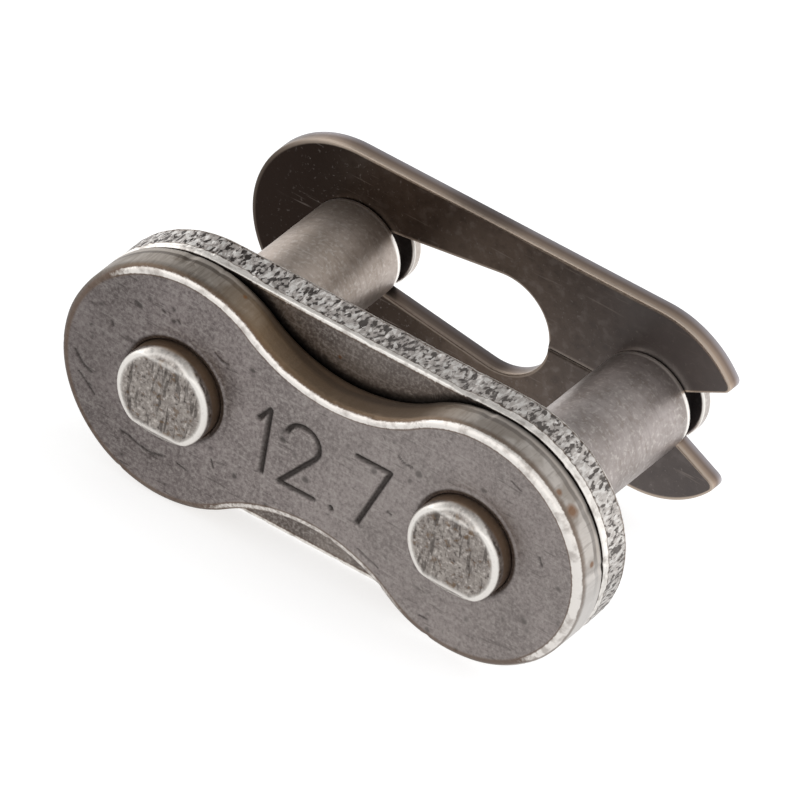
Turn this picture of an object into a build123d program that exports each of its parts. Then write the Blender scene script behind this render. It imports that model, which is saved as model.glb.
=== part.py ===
from build123d import *

import os
from math import radians, tan

# Connecting link of a roller chain, in millimetres: a waisted pin plate with two pins riveted in it,
# a loose plate that slides on the pins, and a spring clip that snaps into the pins' grooves.
#
# Each piece is drawn with the pins upright, along +Z, and the pin plate's outer face at Z = 0.
# The link is then laid on its long edges: +X runs along the pitch towards the clip's open mouth,
# +Y along the pins towards the clip, and +Z is up. The origin is the middle of its footprint.

# Link
PITCH = 12.7
ROOM_FOR_INNER_LINK = 8.35       # clear width between the two plates in use

# Plates
PLATE_HEIGHT = 9.9
WAIST_HEIGHT = 5.9               # pin plate, measured midway between the pins
PIN_PLATE_THICKNESS = 1.5
LOOSE_PLATE_THICKNESS = 1.5
OUTER_EDGE_RADIUS = 0.3          # rounded edge that blanking leaves round the pin plate's outer face
EDGE_BREAK = 0.1                 # the plates' other edges, tumbled

# Pins
PIN_DIAMETER = 3.96
GROOVE_DIAMETER = 2.2
GROOVE_WIDTH = 0.9
HEAD_LENGTH = 0.7
HEAD_EDGE = 0.22                 # rounded edge of the free end
SHOULDER_CHAMFER = 0.12          # lead-in for the loose plate, at the groove
RIVET_PROUD = 0.85               # riveted end beyond the pin plate's outer face
RIVET_EDGE = 0.16
STAKE_CHORD = 1.5                # from the pin's axis to the edge of each staking mark
STAKE_ANGLE = 35                 # slope of a staking mark, from the end face

# Spring clip
CLIP_THICKNESS = 0.7
CLIP_HEIGHT = 8.1
CLIP_TRAVEL = 6.35               # from the groove to the wide end of the window
CLIP_HEEL = 0.52                 # extra length of the closed end
CLIP_EDGE = 0.08
MOUTH_HALF_ANGLE = 28            # of the fishtail
FLARE_START = 1.5                # from the right pin's axis to where the fishtail opens
MOUTH_CORNER = 0.2
TIP_RADIUS = 0.3
SLIT_WIDTH = 0.06                # sheared line that lets the two legs part

# Fits, each on the radius unless it says otherwise
PRESS = 0.01                     # pins in the pin plate
PLATE_CLEARANCE = 0.06           # loose plate on the pins
SEAT_CLEARANCE = 0.03            # clip in the grooves, and from the clip to the heads
HEAD_PASS = 0.1                  # pin's free end in the wide end of the clip's window
REST_GAP = 0.05                  # between the two plates at rest
PLATE_STOP_GAP = 0.05            # from the loose plate in use to the pins' shoulders

# Worked out from the sizes above
PIN_RADIUS = PIN_DIAMETER / 2
LOBE_RADIUS = PLATE_HEIGHT / 2
GROOVE_RADIUS = GROOVE_DIAMETER / 2
LOOSE_PLATE_DEPTH = PIN_PLATE_THICKNESS + REST_GAP
SHOULDER_DEPTH = PIN_PLATE_THICKNESS + ROOM_FOR_INNER_LINK + LOOSE_PLATE_THICKNESS + PLATE_STOP_GAP
GROOVE_END_DEPTH = SHOULDER_DEPTH + GROOVE_WIDTH
CLIP_DEPTH = GROOVE_END_DEPTH - SEAT_CLEARANCE - CLIP_THICKNESS
PIN_END_DEPTH = GROOVE_END_DEPTH + HEAD_LENGTH
PIN_LENGTH = RIVET_PROUD + PIN_END_DEPTH
LEFT = -PITCH / 2
RIGHT = PITCH / 2
RESTING = Plane(
    origin=(0, RIVET_PROUD - PIN_LENGTH / 2, PLATE_HEIGHT / 2), x_dir=(1, 0, 0), z_dir=(0, 1, 0)
)


def pin_holes(radius):
    """A hole for each pin, as a sketch."""
    hole = Circle(radius)
    return Pos(LEFT) * hole + Pos(RIGHT) * hole


def waisted_outline():
    """Two round lobes joined above and below by one hollow arc each, tangent to both lobes."""
    waist = WAIST_HEIGHT / 2
    hollow_radius = (RIGHT**2 + waist**2 - LOBE_RADIUS**2) / (2 * (LOBE_RADIUS - waist))
    lobe_centre = Vector(RIGHT, 0)
    towards_hollow = (Vector(0, waist + hollow_radius) - lobe_centre).normalized()
    joint = lobe_centre + towards_hollow * LOBE_RADIUS
    right_lobe = ThreePointArc((joint.X, -joint.Y), (RIGHT + LOBE_RADIUS, 0), (joint.X, joint.Y))
    upper_hollow = ThreePointArc((joint.X, joint.Y), (0, waist), (-joint.X, joint.Y))
    left_lobe = mirror(right_lobe, Plane.YZ)
    lower_hollow = mirror(upper_hollow, Plane.XZ)
    return make_face([right_lobe, upper_hollow, left_lobe, lower_hollow])


def make_pin_plate():
    """Blanked plate: a rounded edge round its outer face and a small bevel round the inner one."""
    plate = extrude(waisted_outline(), PIN_PLATE_THICKNESS)
    faces = plate.faces().sort_by(Axis.Z)
    plate = fillet(faces[0].outer_wire().edges(), OUTER_EDGE_RADIUS)
    inner_face = plate.faces().sort_by(Axis.Z)[-1]
    plate = chamfer(inner_face.outer_wire().edges(), EDGE_BREAK)
    return plate - extrude(pin_holes(PIN_RADIUS - PRESS), PIN_PLATE_THICKNESS)


def make_loose_plate():
    """Straight-sided plate with two slip-fit holes and broken edges."""
    plate = extrude(SlotCenterToCenter(PITCH, PLATE_HEIGHT), LOOSE_PLATE_THICKNESS)
    plate -= extrude(pin_holes(PIN_RADIUS + PLATE_CLEARANCE), LOOSE_PLATE_THICKNESS)
    flat_faces = plate.faces().filter_by(Axis.Z)
    rims = [edge for face in flat_faces for edge in face.outer_wire().edges()]
    return Pos(0, 0, LOOSE_PLATE_DEPTH) * chamfer(rims, EDGE_BREAK)


def staking_mark(side):
    """Wedge that takes one chord off the riveted end, sloping down to the pin's rim."""
    across = 2 * PIN_DIAMETER
    block = Box(across, across, across, align=(Align.CENTER, Align.MIN, Align.MAX))
    sloped = Pos(0, STAKE_CHORD, -RIVET_PROUD) * Rot(X=STAKE_ANGLE) * block
    return sloped if side > 0 else mirror(sloped, Plane.XZ)


def rim_corners(profile):
    """Corners of the pin's profile that lie on its full radius, from the riveted end up."""
    return profile.vertices().group_by(Axis.X)[-1].sort_by(Axis.Y)


def make_pin():
    """Turned pin: riveted end below, clip groove and short head above."""
    profile = make_face(
        Polyline(
            (0, -RIVET_PROUD),
            (PIN_RADIUS, -RIVET_PROUD),
            (PIN_RADIUS, SHOULDER_DEPTH),
            (GROOVE_RADIUS, SHOULDER_DEPTH),
            (GROOVE_RADIUS, GROOVE_END_DEPTH),
            (PIN_RADIUS, GROOVE_END_DEPTH),
            (PIN_RADIUS, PIN_END_DEPTH),
            (0, PIN_END_DEPTH),
            close=True,
        )
    )
    profile = fillet(rim_corners(profile)[-1], HEAD_EDGE)
    profile = chamfer(rim_corners(profile)[1], SHOULDER_CHAMFER)
    profile = fillet(rim_corners(profile)[0], RIVET_EDGE)
    pin = revolve(Plane.XZ * profile, Axis.Z)
    return pin - staking_mark(1) - staking_mark(-1)


def clip_window(seat_radius):
    """Pear-shaped window: wide enough for a pin's head at one end, closing on the groove at the other."""
    wide_end = Pos(LEFT + CLIP_TRAVEL) * Circle(PIN_RADIUS + HEAD_PASS)
    return make_hull((Pos(LEFT) * Circle(seat_radius) + wide_end).edges())


def clip_mouth(seat_radius):
    """Seat in the groove, a channel as wide as the seat, and the fishtail opening."""
    reach = CLIP_HEIGHT
    slope = tan(radians(MOUTH_HALF_ANGLE))
    apex = FLARE_START - seat_radius / slope
    flare = (reach - apex) * slope
    fishtail = make_face(Polyline((apex, 0), (reach, flare), (reach, -flare), close=True))
    channel = Rectangle(reach, 2 * seat_radius, align=(Align.MIN, Align.CENTER))
    return Pos(RIGHT) * (Circle(seat_radius) + channel + fishtail)


def make_spring_clip():
    """Blanked from one strip: closed end on the left pin, slit bridge, open mouth on the right pin."""
    seat_radius = GROOVE_RADIUS + SEAT_CLEARANCE
    half_height = CLIP_HEIGHT / 2
    closed_end = Pos(LEFT - CLIP_HEEL) * Circle(half_height)
    body = make_hull((closed_end + Pos(RIGHT) * Circle(half_height)).edges())
    slit = Pos(LEFT + CLIP_TRAVEL) * Rectangle(
        PITCH - CLIP_TRAVEL, SLIT_WIDTH, align=(Align.MIN, Align.CENTER)
    )
    blank = body - clip_mouth(seat_radius)
    blank = fillet(blank.vertices().group_by(Axis.X)[-2], MOUTH_CORNER)
    blank = fillet(blank.vertices().group_by(Axis.X)[-1], TIP_RADIUS)
    clip = extrude(blank, CLIP_THICKNESS)
    flat_faces = clip.faces().filter_by(Axis.Z)
    rims = [edge for face in flat_faces for edge in face.outer_wire().edges()]
    clip = chamfer(rims, CLIP_EDGE)
    clip -= extrude(clip_window(seat_radius) + slit, CLIP_THICKNESS)
    return Pos(0, 0, CLIP_DEPTH) * clip


pin = make_pin()
pieces = {
    "pin_plate": make_pin_plate(),
    "left_pin": Pos(LEFT) * pin,
    "right_pin": Pos(RIGHT) * pin,
    "loose_plate": make_loose_plate(),
    "spring_clip": make_spring_clip(),
}

os.makedirs("parts", exist_ok=True)
for name, piece in pieces.items():
    export_step(RESTING * piece, f"parts/{name}.step")
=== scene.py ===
# %% [markdown]
# # A connecting link with its spring clip
#
# A roller chain is closed by one link that can be opened by hand. Five pieces make it: a waisted
# plate with two pins riveted in it, a straight loose plate that drops over the pins, and a clip
# of spring steel that snaps into a groove near the pins' free ends.
#
# The measured model comes first. Its solids say where everything is, so each surface below is
# drawn to the same sizes and takes its solid's place.

# %% Load the measured link
from math import asin, atan2, cos, pi, radians, sin, sqrt, tan

import bmesh
import bpy
import numpy as np
from mathutils import Matrix, Vector


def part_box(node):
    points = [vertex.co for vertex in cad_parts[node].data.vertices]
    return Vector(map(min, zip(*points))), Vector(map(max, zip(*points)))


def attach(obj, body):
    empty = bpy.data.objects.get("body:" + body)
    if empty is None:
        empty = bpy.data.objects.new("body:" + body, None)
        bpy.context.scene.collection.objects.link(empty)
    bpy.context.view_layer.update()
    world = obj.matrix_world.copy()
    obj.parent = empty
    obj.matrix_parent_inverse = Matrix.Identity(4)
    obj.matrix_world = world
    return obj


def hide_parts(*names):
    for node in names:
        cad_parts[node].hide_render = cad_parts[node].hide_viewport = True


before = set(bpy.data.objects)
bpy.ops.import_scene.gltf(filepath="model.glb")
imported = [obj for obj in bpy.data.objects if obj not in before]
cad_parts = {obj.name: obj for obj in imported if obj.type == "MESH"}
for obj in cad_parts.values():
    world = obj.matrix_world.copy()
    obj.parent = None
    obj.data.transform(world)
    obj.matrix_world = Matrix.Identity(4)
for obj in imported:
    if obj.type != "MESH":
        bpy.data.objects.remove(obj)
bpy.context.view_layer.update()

# %% [markdown]
# Blender works in metres, and a chain link is drawn in millimetres, so every size below is in
# millimetres and one function turns it. A point of the link has three numbers: x along the pitch
# from the middle, depth from the pin plate's outer face towards the clip, and z up from the line
# through the two pins. The solids give where that face and that line are.

# %% The link's own coordinates
MM = 0.001
plate_low, plate_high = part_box("pin_plate")
cover_low, cover_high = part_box("loose_plate")
clip_low, clip_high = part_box("spring_clip")
pin_low, pin_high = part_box("right_pin")

FACE = plate_low.y / MM
AXIS = (pin_low.z + pin_high.z) / 2 / MM
PIN_X = (pin_low.x + pin_high.x) / 2 / MM
PIN_RADIUS = (pin_high.x - pin_low.x) / 2 / MM
LOBE_RADIUS = (plate_high.z - plate_low.z) / 2 / MM


def depth_of(y):
    """Depth in millimetres of a place given in metres along the row's Y axis."""
    return y / MM - FACE


def row_y(depth):
    """Place along the row's Y axis in metres, of a depth in millimetres."""
    return (FACE + depth) * MM


def in_row(link_points):
    """Points as x, depth, z in millimetres become points of the shared frame in metres."""
    return (link_points + np.array([0.0, FACE, AXIS])) * MM


print("half pitch", round(PIN_X, 3), "pin", round(PIN_RADIUS, 3), "lobe", round(LOBE_RADIUS, 3))

# %% [markdown]
# The camera looks down at the link from its right front, 29 degrees round and 37 degrees up, with
# the picture turned by 10 degrees. A long lens far away keeps the plates' sides nearly parallel,
# as in a product picture of a small thing.

# %% Camera
AZIMUTH, ELEVATION, ROLL = radians(28.67), radians(37.32), radians(-9.64)
FRAME_WIDTH = 28.5               # millimetres across the picture, at the link
LENS, SENSOR = 1200.0, 36.0      # millimetres
AIM_RIGHT, AIM_UP = 2.90, 2.37   # millimetres in the picture, from the middle of the outer face
NEAREST, FARTHEST = 0.05, 10.0   # metres that the camera sees


def new_object(name, data):
    """An object with that mesh, lamp or camera, put in the scene."""
    made = bpy.data.objects.new(name, data)
    bpy.context.scene.collection.objects.link(made)
    return made


backward = Vector((
    sin(AZIMUTH) * cos(ELEVATION),
    -cos(AZIMUTH) * cos(ELEVATION),
    sin(ELEVATION),
))
level_line = Vector((cos(AZIMUTH), sin(AZIMUTH), 0.0))
upright = backward.cross(level_line)
picture_x = cos(ROLL) * level_line - sin(ROLL) * upright
picture_y = sin(ROLL) * level_line + cos(ROLL) * upright
aim = Vector((0.0, FACE, AXIS)) + AIM_RIGHT * picture_x + AIM_UP * picture_y

camera = new_object("camera", bpy.data.cameras.new("camera"))
camera.data.lens, camera.data.sensor_width = LENS, SENSOR
camera.data.clip_start, camera.data.clip_end = NEAREST, FARTHEST
distance = FRAME_WIDTH * LENS / SENSOR
turn = Matrix((picture_x, picture_y, backward)).transposed().to_4x4()
camera.matrix_world = Matrix.Translation((aim + distance * backward) * MM) @ turn
bpy.context.scene.camera = camera
bpy.context.scene.view_settings.view_transform = "Standard"
print("camera stands", round(distance * MM, 3), "m away")

# %% [markdown]
# Three helpers serve every material and the tent. Colours are written as sRGB hex values, as a
# paint chart gives them, and shaders want linear light, so one function turns them. One empties a
# new node tree. The third adds a node with its settings, and joins its sockets to values or to
# other nodes' outputs.


# %% Colour and node helpers
def tone(code):
    """Linear RGBA of an sRGB hex colour: each channel's gamma is undone."""
    channels = np.array([int(code[i:i + 2], 16) for i in (1, 3, 5)]) / 255
    linear = np.where(channels <= 0.04045, channels / 12.92, ((channels + 0.055) / 1.055) ** 2.4)
    return (*linear.tolist(), 1.0)


def blank_tree(owner):
    """Node tree of a new material or world, emptied."""
    owner.use_nodes = True
    owner.node_tree.nodes.clear()
    return owner.node_tree


def add(tree, kind, inputs=None, output=0, **settings):
    """Adds a shader node, and gives back one output of it, or the node itself if it has none.

    inputs holds a value for each socket, or an output to join it to.
    """
    node = tree.nodes.new("ShaderNode" + kind)
    for setting, value in settings.items():
        setattr(node, setting, value)
    for socket, value in (inputs or {}).items():
        if isinstance(value, bpy.types.NodeSocket):
            tree.links.new(value, node.inputs[socket])
        else:
            node.inputs[socket].default_value = value
    return node.outputs[output] if node.outputs else node


print("mid grey #808080 in linear light:", round(tone("#808080")[0], 3))

# %% [markdown]
# Steel has hardly any colour of its own and shows what is round it. A small thing is shot on a
# white table in a white tent. The table is white to the eye, with a faint shadow close to the
# link. The steel mirrors it a little darker in front than behind, where the lamp stands.

# %% Table
FLOOR_SIDE = 4000.0              # millimetres
GLOW = 0.75                      # what the table gives off by itself, as seen
GLOW_FRONT, GLOW_BEHIND = 0.72, 1.10     # and as the steel mirrors it
GLOW_CHANGES = 3, 9              # millimetres along Y between which the mirrored glow changes
GLOW_TINT = 1.0, 0.987, 0.975, 1.0       # hardly warm, in linear light
TABLE_LIGHT = "#e6e5e4"          # the colour that lights the steel
TABLE_MIRRORED, TABLE_SEEN = "#777c80", "#bcbfc2"

corners = np.array([(-1, -1, 0), (1, -1, 0), (1, 1, 0), (-1, 1, 0)]) * FLOOR_SIDE / 2 * MM
mesh = bpy.data.meshes.new("floor")
mesh.from_pydata(corners.tolist(), [], [(0, 1, 2, 3)])
floor = new_object("floor", mesh)

white_card = bpy.data.materials.new("white_card")
floor.data.materials.append(white_card)
tree = blank_tree(white_card)
rays = add(tree, "LightPath").node.outputs
card = tone(TABLE_LIGHT)
for ray, shown in (("Is Glossy Ray", TABLE_MIRRORED), ("Is Camera Ray", TABLE_SEEN)):
    card = add(tree, "Mix", {0: rays[ray], 6: card, 7: tone(shown)}, 2, data_type="RGBA")
backwards = add(tree, "SeparateXYZ", {0: add(tree, "TexCoord", output="Object")}, "Y")
mirrored = add(tree, "MapRange", {
    "Value": backwards, "From Min": GLOW_CHANGES[0] * MM, "From Max": GLOW_CHANGES[1] * MM,
    "To Min": GLOW_FRONT, "To Max": GLOW_BEHIND,
})
glow = add(tree, "Math", {0: rays["Is Glossy Ray"], 1: mirrored}, operation="MULTIPLY")
glow = add(tree, "Math", {0: rays["Is Camera Ray"], 1: GLOW, 2: glow}, operation="MULTIPLY_ADD")
add(tree, "OutputMaterial", {"Surface": add(tree, "BsdfPrincipled", {
    "Base Color": card, "Roughness": 0.9, "Specular IOR Level": 0.1,
    "Emission Color": GLOW_TINT, "Emission Strength": glow,
})})
print("table:", FLOOR_SIDE, "mm wide")

# %% [markdown]
# The tent is plain white to the eye. What the steel mirrors of it has shape: the front wall draws a
# thin bright line along every worn edge, and the left wall, further from the lamp, is darker,
# apart from the tent's bright opening at its far end. The one large lamp stands behind the link
# and casts its shadow. The steel mirrors the tent's walls instead of it, and they carry its light.

# %% Tent and lamp
TENT_LIGHT = 0.6                 # strength with which the tent lights the link
WALLS = (                        # axis, where it starts and where it is full, strength at both
    ("X", -0.6, 0.9, 0.38, 1.00),
    ("Y", -0.30, -0.85, 0.0, 1.15),      # front wall
    ("X", -0.45, -0.75, 0.0, 1.5),       # opening
)
LAMP_TOWARDS = 0.75, 0.62, 0.85  # direction from the link
LAMP_AWAY, LAMP_SIDE = 220, 240  # millimetres
LAMP_RADIANCE = 1.45

world = bpy.data.worlds.new("white_tent")
bpy.context.scene.world = world
tree = blank_tree(world)
rays = add(tree, "LightPath").node.outputs
direction = add(tree, "TexCoord", output="Generated")
direction = add(tree, "SeparateXYZ", {0: direction}).node.outputs
mirrored = 0.0
for axis, start, end, low, high in WALLS:
    wall = {"Value": direction[axis], "From Min": start, "From Max": end}
    wall.update({"To Min": low, "To Max": high})
    wall = add(tree, "MapRange", wall, interpolation_type="SMOOTHSTEP")
    mirrored = add(tree, "Math", {0: mirrored, 1: wall}, operation="MAXIMUM")
strength = add(tree, "Mix", {0: rays["Is Glossy Ray"], 2: TENT_LIGHT, 3: mirrored})
strength = add(tree, "Mix", {0: rays["Is Camera Ray"], 2: strength, 3: 1.0})
background = add(tree, "Background", {"Color": (1, 1, 1, 1), "Strength": strength})
add(tree, "OutputWorld", {"Surface": background})

lamp = new_object("key_lamp", bpy.data.lights.new("key_lamp", "AREA"))
towards = Vector(LAMP_TOWARDS).normalized()
lamp.data.size = LAMP_SIDE * MM
lamp.data.energy = LAMP_RADIANCE * pi * (LAMP_SIDE * MM) ** 2
lamp.location = towards * LAMP_AWAY * MM
lamp.rotation_mode = "QUATERNION"
lamp.rotation_quaternion = towards.to_track_quat("Z", "Y")
lamp.visible_glossy = False
print("lamp:", round(lamp.data.energy, 3), "W")

# %% [markdown]
# Each piece is drawn as a few grids of points: the flat faces, and one grid that carries an edge's
# section round the outline. Neighbouring grids share their border points, so a weld makes one
# closed skin of them. Every point also keeps three values for its finish. arris says how near it
# is to an edge, because tumbled steel is bright exactly there, and on some edges it also carries a
# painted highlight. rim marks a surface that was sheared or battered, and struck one that is
# painted darker: oxide and grime, and painted shade in the gaps between parts.

# %% From grids of points to one closed mesh
WELD = 2e-7                      # metres; far less than the finest spacing of the grids
KEPT = "arris", "rim", "struck"


def grid_quads(rows, columns, closed):
    """Corner numbers of a grid's quads: each point, its next in the row, and the same a row on."""
    row = columns * np.arange(rows - 1)[:, None]
    column = np.arange(columns if closed else columns - 1)
    beside = (column + 1) % columns
    corners = row + column, row + beside, row + columns + beside, row + columns + column
    return np.stack(corners, axis=-1).reshape(-1, 4)


def patch(points, closed=True, arris=0.0, rim=0.0, struck=0.0):
    """A grid of (x, depth, z), with its kept values. A closed one's rows are rings."""
    rows, columns = points.shape[:2]
    kept = [np.broadcast_to(value, (rows, columns)).ravel() for value in (arris, rim, struck)]
    return points.reshape(-1, 3), grid_quads(rows, columns, closed), kept


def weld_patches(name, patches):
    """Stacks the grids, puts them in the shared frame, and merges the points that they share."""
    points, quads, kept = zip(*patches)
    starts = np.cumsum([0] + [len(own) for own in points])
    quads = np.concatenate([own + start for own, start in zip(quads, starts)])
    mesh = bpy.data.meshes.new(name)
    mesh.from_pydata(in_row(np.concatenate(points)).tolist(), [], quads.tolist())
    for attribute, values in zip(KEPT, zip(*kept)):
        layer = mesh.attributes.new(attribute, "FLOAT", "POINT")
        layer.data.foreach_set("value", np.concatenate(values).astype(np.float32))
    skin = bmesh.new()
    skin.from_mesh(mesh)
    bmesh.ops.remove_doubles(skin, verts=skin.verts, dist=WELD)
    bmesh.ops.recalc_face_normals(skin, faces=skin.faces)
    open_edges = sum(not edge.is_manifold for edge in skin.edges)
    skin.to_mesh(mesh)
    skin.free()
    mesh.polygons.foreach_set("use_smooth", np.ones(len(mesh.polygons), dtype=bool))
    mesh.update()
    triangles = sum(len(face.vertices) - 2 for face in mesh.polygons)
    print(name, "triangles", triangles, "open edges", open_edges)
    return mesh


def put_piece(name, patches, body, node, finish):
    """The finished piece: it rides on its body, takes its solid's place, and wears its finish."""
    piece = new_object(name, weld_patches(name, patches))
    piece.data.materials.append(finish)
    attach(piece, body)
    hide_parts(node)


print("a closed ring of two rows by 8:", len(grid_quads(2, 8, True)), "quads")

# %% [markdown]
# No blanked plate is perfect. Its faces are a little uneven from the press and the hardening, and
# its edges are nicked. A smooth random field gives that: random numbers at the corners of a grid
# of cubes, blended in between.


# %% Uneven surfaces
CORNER_MIX, SEED_MIX = np.array([127.1, 311.7, 74.7]), 53.3
LARGE_MULTIPLE = 43758.5453


def lattice_value(corner, seed):
    """A number from 0 to 1 for each corner: the fraction of a large multiple of a sine."""
    mixed = corner @ CORNER_MIX + SEED_MIX * seed
    return np.modf(np.abs(np.sin(mixed) * LARGE_MULTIPLE))[0]


def uneven(points, cell, seed):
    """Smooth random field from -1 to 1, with bumps about a cell wide, at points in millimetres."""
    scaled = points / cell
    low = np.floor(scaled)
    share = scaled - low
    share = share * share * (3 - 2 * share)
    total = 0.0
    for corner in np.ndindex(2, 2, 2):
        weight = np.prod(np.where(corner, share, 1 - share), axis=-1)
        total = total + weight * lattice_value(low + corner, seed)
    return 2 * total - 1


def ease(value, start, end):
    """Rises smoothly from 0 at start to 1 at end (or falls, where start is the larger)."""
    share = np.clip((value - start) / (end - start), 0, 1)
    return share * share * (3 - 2 * share)


def hump(value, middle, width):
    """1 at the middle, falling away as a bell that is about that wide to each side."""
    return np.exp(-(((value - middle) / width) ** 2))


print("uneven field at the middle:", round(float(uneven(np.zeros(3), 1.0, 1)), 3))

# %% [markdown]
# The pin plate's outline is two round lobes joined by a hollow arc above and below. The loose
# plate's is two half circles joined by straight sides. Both are written as a function of how far
# the line lies inside the true edge, so that one function gives the edge itself, the start of its
# rounding and the border of the flat face.

# %% Outlines of the two plates
WAIST_HEIGHT = 5.9
GRID_STEP = 0.075                # millimetres between neighbouring points along an edge
MIDDLE_STEP = 0.065              # and across the middle of the pin plate, where the figures are
STRAIGHT_MIDDLE = 3.2            # half length of the loose plate's part between its two fans

half_waist = WAIST_HEIGHT / 2
hollow_radius = (PIN_X**2 + half_waist**2 - LOBE_RADIUS**2) / (2 * (LOBE_RADIUS - half_waist))
hollow_centre = half_waist + hollow_radius
lobe_reach = atan2(hollow_centre, -PIN_X)


def arc(centre_x, centre_z, radius, start, end, count):
    """Points on a circle from one angle to another, as rows of (x, z)."""
    angle = np.linspace(start, end, count)
    return np.stack([centre_x + radius * np.cos(angle), centre_z + radius * np.sin(angle)], -1)


def line(start, end, count):
    """Evenly spaced points from start to end, as rows of (x, z)."""
    share = np.linspace(0, 1, count)[:, None]
    return np.asarray(start) * (1 - share) + np.asarray(end) * share


def steps(length, spacing):
    """How many points cover that length at about that spacing."""
    return max(2, int(round(length / spacing)) + 1)


def lobed_outline(inset):
    """(top middle, right side) of the pin plate: the hollow arc, then the right lobe, clockwise."""
    tilt = lobe_reach - pi / 2
    middle = steps(2 * tilt * hollow_radius, MIDDLE_STEP)
    side = steps(2 * lobe_reach * LOBE_RADIUS, GRID_STEP)
    ends = -pi / 2 - tilt, -pi / 2 + tilt
    top = arc(0, hollow_centre, hollow_radius + inset, *ends, middle)
    return top, arc(PIN_X, 0, LOBE_RADIUS - inset, lobe_reach, -lobe_reach, side)


def straight_outline(inset):
    """(top middle, right side) of the loose plate: straight, round a half circle, and back."""
    height = LOBE_RADIUS - inset
    middle = steps(2 * STRAIGHT_MIDDLE, GRID_STEP)
    top = line((-STRAIGHT_MIDDLE, height), (STRAIGHT_MIDDLE, height), middle)
    run = steps(PIN_X - STRAIGHT_MIDDLE, GRID_STEP)
    upper = line((STRAIGHT_MIDDLE, height), (PIN_X, height), run)
    half_circle = steps(pi * LOBE_RADIUS, GRID_STEP)
    round_end = arc(PIN_X, 0, height, pi / 2, -pi / 2, half_circle)
    lower = upper[::-1] * (1, -1)
    return top, np.concatenate([upper[:-1], round_end, lower[1:]])


def closed_ring(outline, inset):
    """The whole outline as one closed loop of points, clockwise from the top left."""
    top, right = outline(inset)
    bottom = top[::-1] * (1, -1)
    left = right[::-1] * (-1, 1)
    return np.concatenate([top[:-1], right[:-1], bottom[:-1], left[:-1]])


print("hollow radius", round(hollow_radius, 2), "points", len(closed_ring(lobed_outline, 0.0)))

# %% [markdown]
# A face with two holes can't be one grid, so it is three: a fan of rays round each hole, from the
# hole to the outline, and a plain grid between them. The fans end on the same upright line as the
# plain grid does, with the same points on it.


# %% A face with two holes
def fan_border(outline, inset, rungs):
    """Closed loop round the right fan: the outline's right side, then the upright line, upwards."""
    right = outline(inset)[1]
    return np.concatenate([right[:-1], line(right[-1], right[0], rungs)[:-1]])


def hole_ring(outline, rungs, radius, depth):
    """Points of the right hole at that radius and depth, one on each ray of the fan."""
    around = fan_border(outline, 0.0, rungs) - (PIN_X, 0)
    ring = (PIN_X, 0) + radius * around / np.linalg.norm(around, axis=1, keepdims=True)
    return np.insert(ring, 1, depth, axis=1)


def face_grids(outline, inset, hole_radius, depth, rings, rungs):
    """Grids of (x, depth, z) for one flat face: the open middle, then the closed fans."""
    top = outline(inset)[0]
    across = np.linspace(-1, 1, rungs)[:, None]
    middle_x = np.broadcast_to(top[:, 0], (rungs, len(top)))
    middle = np.stack([middle_x, np.full(middle_x.shape, depth), across * top[:, 1]], -1)
    outward = np.linspace(0, 1, rings)[:, None, None]
    border = np.insert(fan_border(outline, inset, rungs), 1, depth, axis=1)
    fan = hole_ring(outline, rungs, hole_radius, depth) * (1 - outward) + border * outward
    return middle, fan, fan * (-1, 1, 1)


def hole_patches(outline, rungs, section, surface):
    """Walls of both holes: a section, rows of (radius, depth), carried round, then made uneven."""
    wall = np.stack([hole_ring(outline, rungs, radius, depth) for radius, depth in section])
    return [patch(surface(wall * (side, 1, 1))) for side in (1, -1)]


def edge_grid(outline, section):
    """Carries an edge's section, rows of (inset, depth), round the outline."""
    rings = [np.insert(closed_ring(outline, inset), 1, depth, axis=1) for inset, depth in section]
    return np.stack(rings)


def outward_of(outline):
    """Unit direction out of the plate at each point of the ring: from an inner ring to the edge."""
    step = closed_ring(outline, 0.0) - closed_ring(outline, 0.5)
    step = step / np.linalg.norm(step, axis=1, keepdims=True)
    return np.insert(step, 1, 0.0, axis=1)


def quarter(radius, count):
    """A rounded edge as rows of (inset, depth), from the flat face to the rim."""
    angle = np.linspace(0, pi / 2, count)
    return np.stack([radius * (1 - np.sin(angle)), radius * (1 - np.cos(angle))], -1)


print("rays of a fan:", len(fan_border(lobed_outline, 0.0, 101)))

# %% [markdown]
# The size of the link is struck into the pin plate between its pins. A punch leaves a thin
# groove, and the metal that it moved stands up as a low lip on both sides. Each figure here is a
# line through a few points, and the relief at any point of the face depends only on its distance
# to the nearest line. The figures give the pitch in millimetres.

# %% Struck figures
FIGURE_HEIGHT = 2.8
GROOVE_HALF_WIDTH, GROOVE_DEPTH = 0.15, 0.12
LIP_DISTANCE, LIP_WIDTH, LIP_HEIGHT = 0.24, 0.06, 0.018
BASELINE = -1.55
BOW_RADIUS, BOW_ENDS = 0.72, (radians(165), radians(-38))    # of the second figure's upper part

upper_bow = arc(BOW_RADIUS, FIGURE_HEIGHT - BOW_RADIUS, BOW_RADIUS, *BOW_ENDS, 14)
FIGURES = (                      # left side, and the line
    (-2.75, ((0.0, 2.2), (0.42, FIGURE_HEIGHT), (0.42, 0.0))),
    (-1.55, (*upper_bow, (0.0, 0.0), (1.5, 0.0))),
    (0.72, ((0.0, 0.05), (0.02, 0.0))),
    (1.45, ((0.0, FIGURE_HEIGHT), (1.45, FIGURE_HEIGHT), (0.42, 0.0))),
)
FIGURE_LINES = [np.array(track) + (left, BASELINE) for left, track in FIGURES]


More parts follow.
